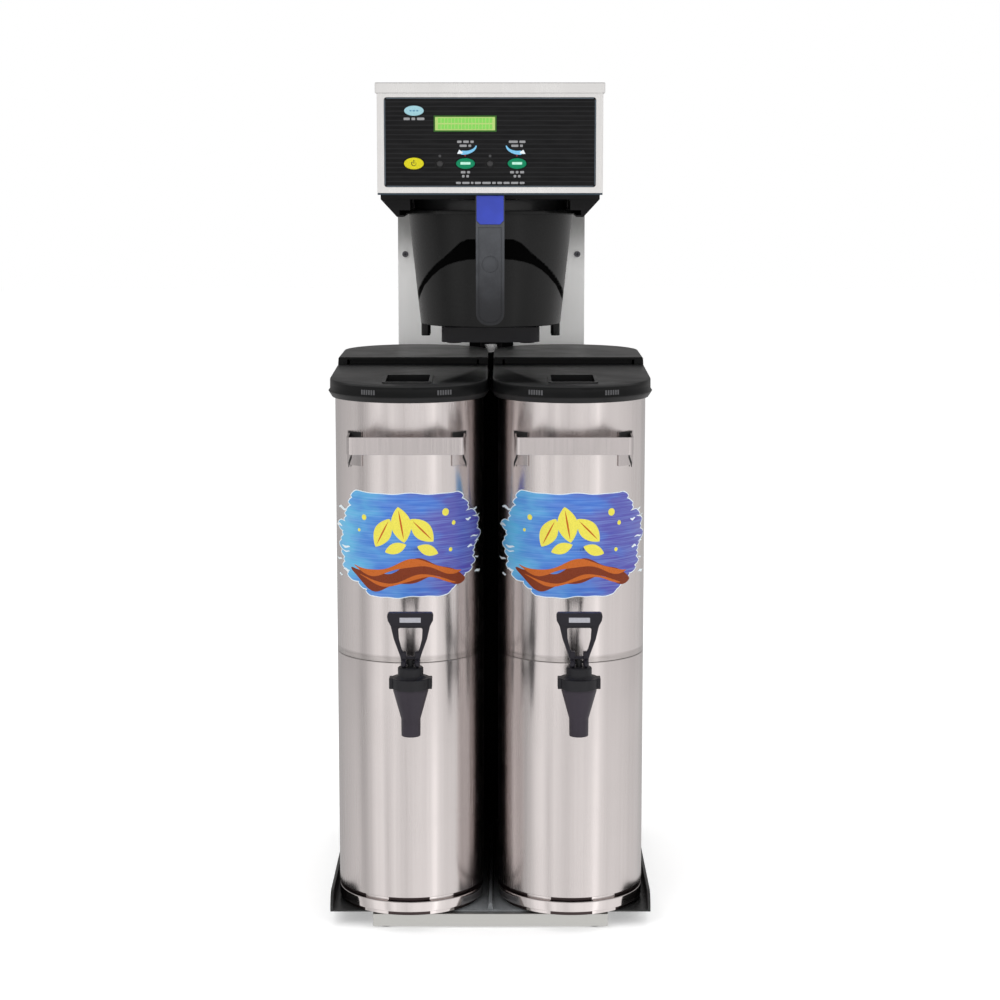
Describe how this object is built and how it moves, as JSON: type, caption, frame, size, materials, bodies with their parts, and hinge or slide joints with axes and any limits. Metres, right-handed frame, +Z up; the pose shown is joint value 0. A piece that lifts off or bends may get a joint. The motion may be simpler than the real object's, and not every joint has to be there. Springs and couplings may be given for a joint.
{
  "type": "iced tea maker",
  "caption": "Iced tea maker: stainless column and hood with a brew cone over narrow lidded dispensers with faucets.",
  "frame": {"origin": "on the counter, under the middle of the whole outline", "axes": "+Z up, front with the faucets towards -Y, +X to the right as seen from the front"},
  "size_m": [0.344, 0.67, 0.894],
  "materials": {
    "stainless": "brushed stainless steel",
    "hood_steel": "satin stainless steel",
    "inner_steel": "plain stainless steel",
    "chrome_wire": "bright wire",
    "black_plastic": "satin black plastic",
    "lid_plastic": "fine grained black plastic",
    "handle_grey": "satin grey plastic",
    "insert_blue": "smooth blue plastic",
    "panel_black": "black overlay",
    "display_green": "backlit display window",
    "lamp_blue": "light blue lens",
    "key_yellow": "yellow key",
    "key_green": "green key",
    "smoked_lens": "smoked lens",
    "board_green": "circuit board",
    "white_plastic": "moulded valve body",
    "silicone": "soft silicone",
    "foot_rubber": "black rubber",
    "heater_sheath": "heater sheath",
    "brass": "machined brass",
    "dark_screws": "blackened screws"
  },
  "bodies": {
    "chassis": {"base_pan": "hood_steel", "base_feet": "foot_rubber", "dispenser_tray": "black_plastic", "trunk_shell": "hood_steel", "trunk_back_cover": "hood_steel", "trunk_screws": "dark_screws", "dispenser_stop": "black_plastic", "stop_plate": "inner_steel", "hood_shell": "hood_steel", "hood_top_cover": "hood_steel", "control_panel": "panel_black", "display_window": "display_green", "status_lamp": "lamp_blue", "key_sensors": "smoked_lens", "control_board": "board_green", "rail_plate": "black_plastic", "cone_rail_left": "black_plastic", "cone_rail_right": "black_plastic", "sprayhead": "white_plastic", "spray_tube": "inner_steel", "water_tank": "inner_steel", "tank_lid": "inner_steel", "heating_element": "heater_sheath", "level_probe": "inner_steel", "dump_valve": "white_plastic", "inlet_valve": "white_plastic", "inlet_fitting": "brass", "power_gland": "black_plastic"},
    "brew_cone_unit": {"brew_cone": "black_plastic", "cone_handle": "handle_grey", "handle_insert": "insert_blue", "filter_basket": "chrome_wire", "cone_outlet": "black_plastic"},
    "power_key": {"power_button": "key_yellow"},
    "left_brew_key": {"brew_button_left": "key_green"},
    "right_brew_key": {"brew_button_right": "key_green"},
    "dispenser_left": {"reservoir_left": "stainless", "skirt_left": "stainless", "foot_ring_left": "stainless", "carry_handle_left": "stainless", "lid_rear_left": "lid_plastic", "lid_pin_left": "inner_steel", "faucet_body_left": "black_plastic", "faucet_nut_left": "black_plastic", "faucet_bonnet_left": "black_plastic"},
    "flap_left": {"lid_flap_left": "lid_plastic"},
    "seat_left": {"faucet_seat_left": "silicone"},
    "lever_left": {"faucet_lever_left": "black_plastic"},
    "dispenser_right": {"reservoir_right": "stainless", "skirt_right": "stainless", "foot_ring_right": "stainless", "carry_handle_right": "stainless", "lid_rear_right": "lid_plastic", "lid_pin_right": "inner_steel", "faucet_body_right": "black_plastic", "faucet_nut_right": "black_plastic", "faucet_bonnet_right": "black_plastic"},
    "flap_right": {"lid_flap_right": "lid_plastic"},
    "seat_right": {"faucet_seat_right": "silicone"},
    "lever_right": {"faucet_lever_right": "black_plastic"}
  },
  "joints": [
    {"name": "cone_slide", "type": "slide", "parent": "chassis", "child": "brew_cone_unit", "axis": [0, -1, 0], "range_m": [0, 0.15]},
    {"name": "power_key_press", "type": "slide", "parent": "chassis", "child": "power_key", "axis": [0, 1, 0], "range_m": [0, 0.0006], "stiffness_N_per_m": 1500, "springref_m": -0.0006},
    {"name": "left_brew_key_press", "type": "slide", "parent": "chassis", "child": "left_brew_key", "axis": [0, 1, 0], "range_m": [0, 0.0006], "stiffness_N_per_m": 1500, "springref_m": -0.0006},
    {"name": "right_brew_key_press", "type": "slide", "parent": "chassis", "child": "right_brew_key", "axis": [0, 1, 0], "range_m": [0, 0.0006], "stiffness_N_per_m": 1500, "springref_m": -0.0006},
    {"name": "dispenser_slide_left", "type": "slide", "parent": "chassis", "child": "dispenser_left", "axis": [0, -1, 0], "range_m": [0, 0.12]},
    {"name": "lid_hinge_left", "type": "hinge", "parent": "dispenser_left", "child": "flap_left", "pos_m": [-0.0865, -0.069, 0.5855], "axis": [-1, 0, 0], "range_deg": [0, 15]},
    {"name": "seat_lift_left", "type": "slide", "parent": "dispenser_left", "child": "seat_left", "axis": [0, 0, 1], "range_m": [0, 0.0046]},
    {"name": "lever_pull_left", "type": "hinge", "parent": "seat_left", "child": "lever_left", "pos_m": [-0.0815, -0.315, 0.305], "axis": [1, 0, 0], "range_deg": [0, 40], "stiffness_Nm_per_rad": 0.4, "springref_deg": -5.73},
    {"name": "dispenser_slide_right", "type": "slide", "parent": "chassis", "child": "dispenser_right", "axis": [0, -1, 0], "range_m": [0, 0.12]},
    {"name": "lid_hinge_right", "type": "hinge", "parent": "dispenser_right", "child": "flap_right", "pos_m": [0.0865, -0.069, 0.5855], "axis": [-1, 0, 0], "range_deg": [0, 15]},
    {"name": "seat_lift_right", "type": "slide", "parent": "dispenser_right", "child": "seat_right", "axis": [0, 0, 1], "range_m": [0, 0.0046]},
    {"name": "lever_pull_right", "type": "hinge", "parent": "seat_right", "child": "lever_right", "pos_m": [0.0915, -0.315, 0.305], "axis": [1, 0, 0], "range_deg": [0, 40], "stiffness_Nm_per_rad": 0.4, "springref_deg": -5.73}
  ],
  "couplings": [
    {"joint": "seat_lift_left", "follows": "lever_pull_left", "m_per_rad": 0.006446},
    {"joint": "seat_lift_right", "follows": "lever_pull_right", "m_per_rad": 0.006446}
  ]
}
